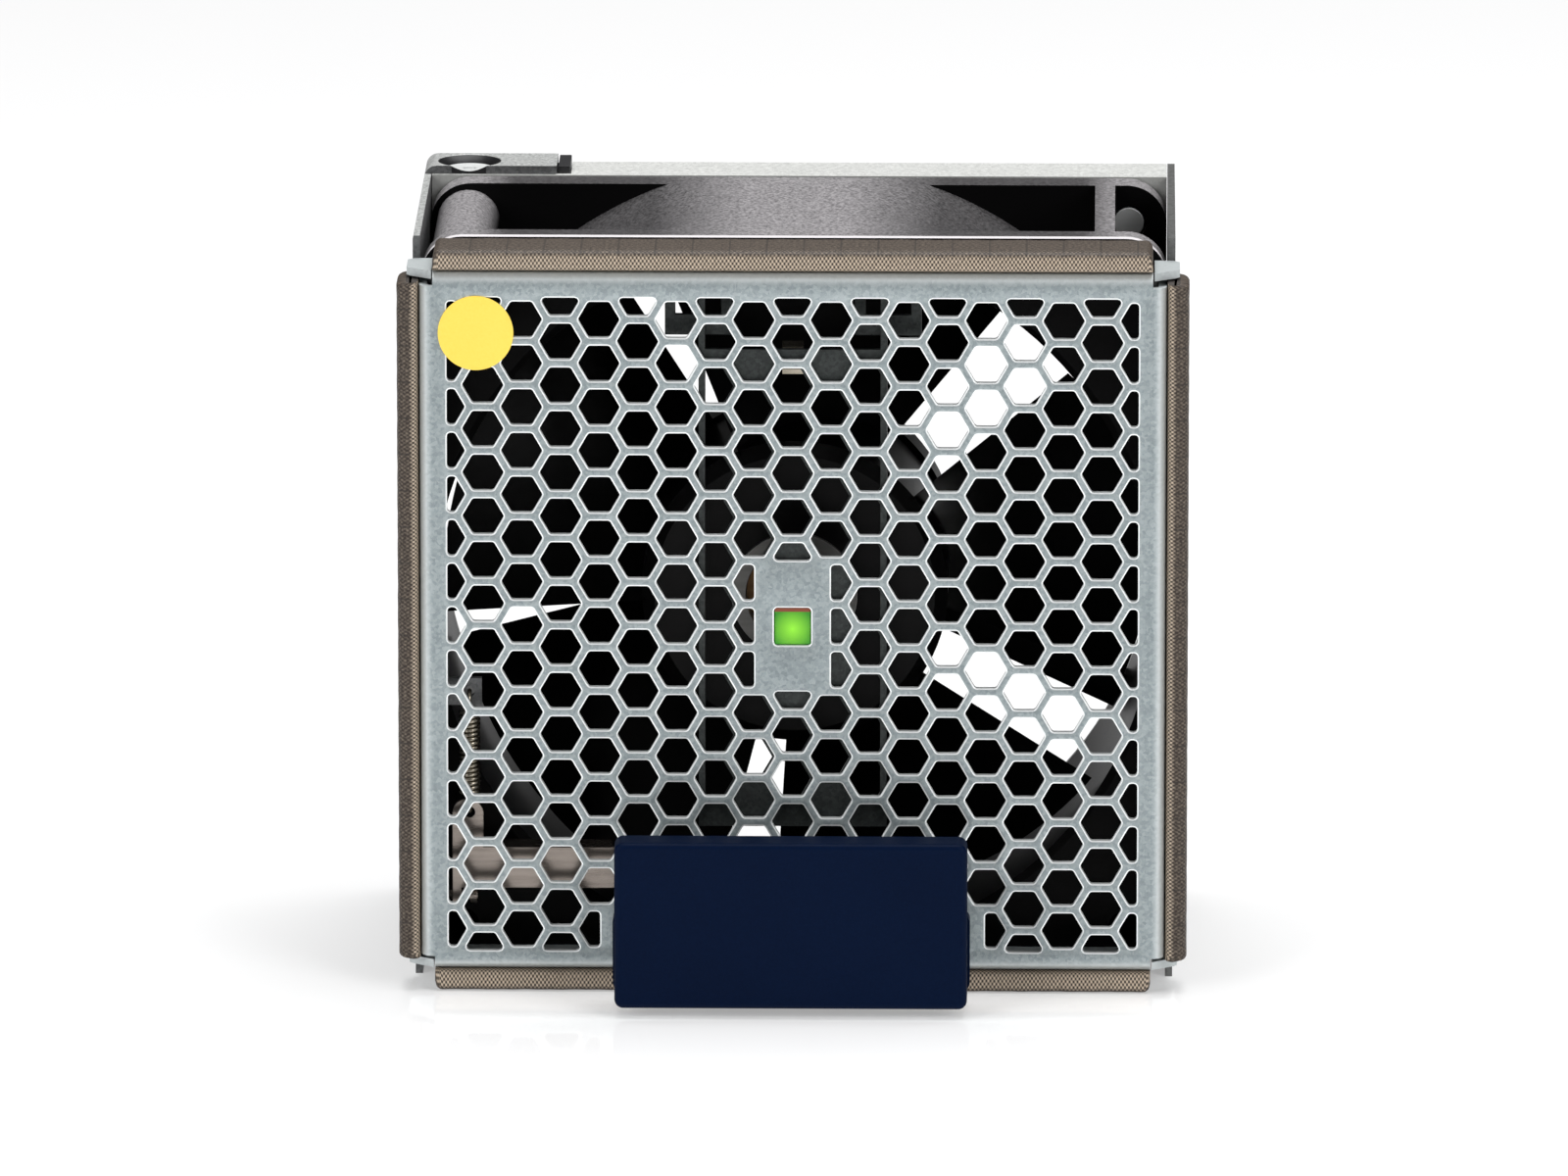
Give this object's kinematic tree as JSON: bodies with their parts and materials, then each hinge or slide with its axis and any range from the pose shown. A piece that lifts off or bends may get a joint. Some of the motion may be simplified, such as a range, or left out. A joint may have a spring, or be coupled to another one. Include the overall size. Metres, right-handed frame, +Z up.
{
  "type": "switch fan tray",
  "caption": "Hot-swap fan tray for a network switch: hexagonal sheet panel with gaskets, square fan, sprung latch lever with a pad handle, and a rear connector.",
  "frame": {"origin": "middle of the tray's bounding box at its lowest face, on the underside of the bottom gasket and of the rear frame", "axes": "+X to the right across the front panel, +Y to the rear along the fan's axis and the way it slides in, +Z up"},
  "size_m": [0.0974, 0.0704, 0.0946],
  "materials": {
    "panel_steel": "zinc-plated cold-rolled sheet, satin",
    "plate_steel": "zinc-plated sheet, pale satin",
    "lever_nickel": "nickel-plated sheet, satin",
    "spring_steel": "bright spring steel",
    "screw_steel": "zinc-plated steel",
    "rivet_steel": "plated steel",
    "gasket_cloth": "woven metallised cloth over foam",
    "sticker_paper": "yellow-orange paper film, matt",
    "lamp_window": "translucent green, glossy",
    "lamp_case": "brown-red moulding",
    "board": "green laminate",
    "lamp_chip": "clear potted chip",
    "fan_plastic": "black glass-filled plastic, fine grain",
    "blade_plastic": "black plastic, semi-gloss",
    "motor_steel": "plain steel",
    "hub_brass": "dull brass",
    "magnet": "bonded ferrite",
    "copper": "enamelled copper wire",
    "handle_plastic": "navy plastic, satin",
    "connector_plastic": "black plastic",
    "pin_gold": "gold-plated"
  },
  "bodies": {
    "tray": {"front_panel": "panel_steel", "centre_strap": "panel_steel", "strap_hooks": "panel_steel", "left_side_plate": "plate_steel", "right_side_plate": "plate_steel", "rear_frame": "plate_steel", "pivot_stud": "lever_nickel", "guide_pin": "lever_nickel", "return_spring": "spring_steel", "retaining_ring": "spring_steel", "ground_finger": "spring_steel", "bracket_screw": "screw_steel", "clinch_nut": "screw_steel", "fan_screws": "screw_steel", "lap_rivets": "rivet_steel", "frame_rivets": "rivet_steel", "gasket_bottom": "gasket_cloth", "gasket_top": "gasket_cloth", "gasket_left": "gasket_cloth", "gasket_right": "gasket_cloth", "dot_sticker": "sticker_paper", "light_pipe": "lamp_window", "lamp_holder": "lamp_case", "lamp_board": "board", "motor_board": "board", "status_lamp": "lamp_chip", "fan_frame": "fan_plastic", "stator_core": "motor_steel", "bearing_tube": "hub_brass", "front_bearing": "hub_brass", "rear_bearing": "hub_brass", "stator_coils": "copper", "connector_housing": "connector_plastic", "connector_pins": "pin_gold"},
    "rotor": {"impeller": "blade_plastic", "rotor_yoke": "motor_steel", "rotor_magnet": "magnet", "hub_ring": "motor_steel", "hub_boss": "hub_brass", "rotor_shaft": "motor_steel", "shaft_clip": "spring_steel"},
    "latch": {"latch_lever": "lever_nickel", "handle_pad": "handle_plastic", "handle_cover": "handle_plastic", "handle_screws": "screw_steel"}
  },
  "joints": [
    {"name": "rotor_spin", "type": "hinge", "parent": "tray", "child": "rotor", "pos_m": [0, 0, 0.04745], "axis": [0, 1, 0], "continuous": true},
    {"name": "latch_lift", "type": "hinge", "parent": "tray", "child": "latch", "pos_m": [-0.017, -0.01715, 0.015], "axis": [0, -1, 0], "range_deg": [0, 5], "stiffness_Nm_per_rad": 1.76, "springref_deg": -1.72, "deforming": ["return_spring"]}
  ]
}
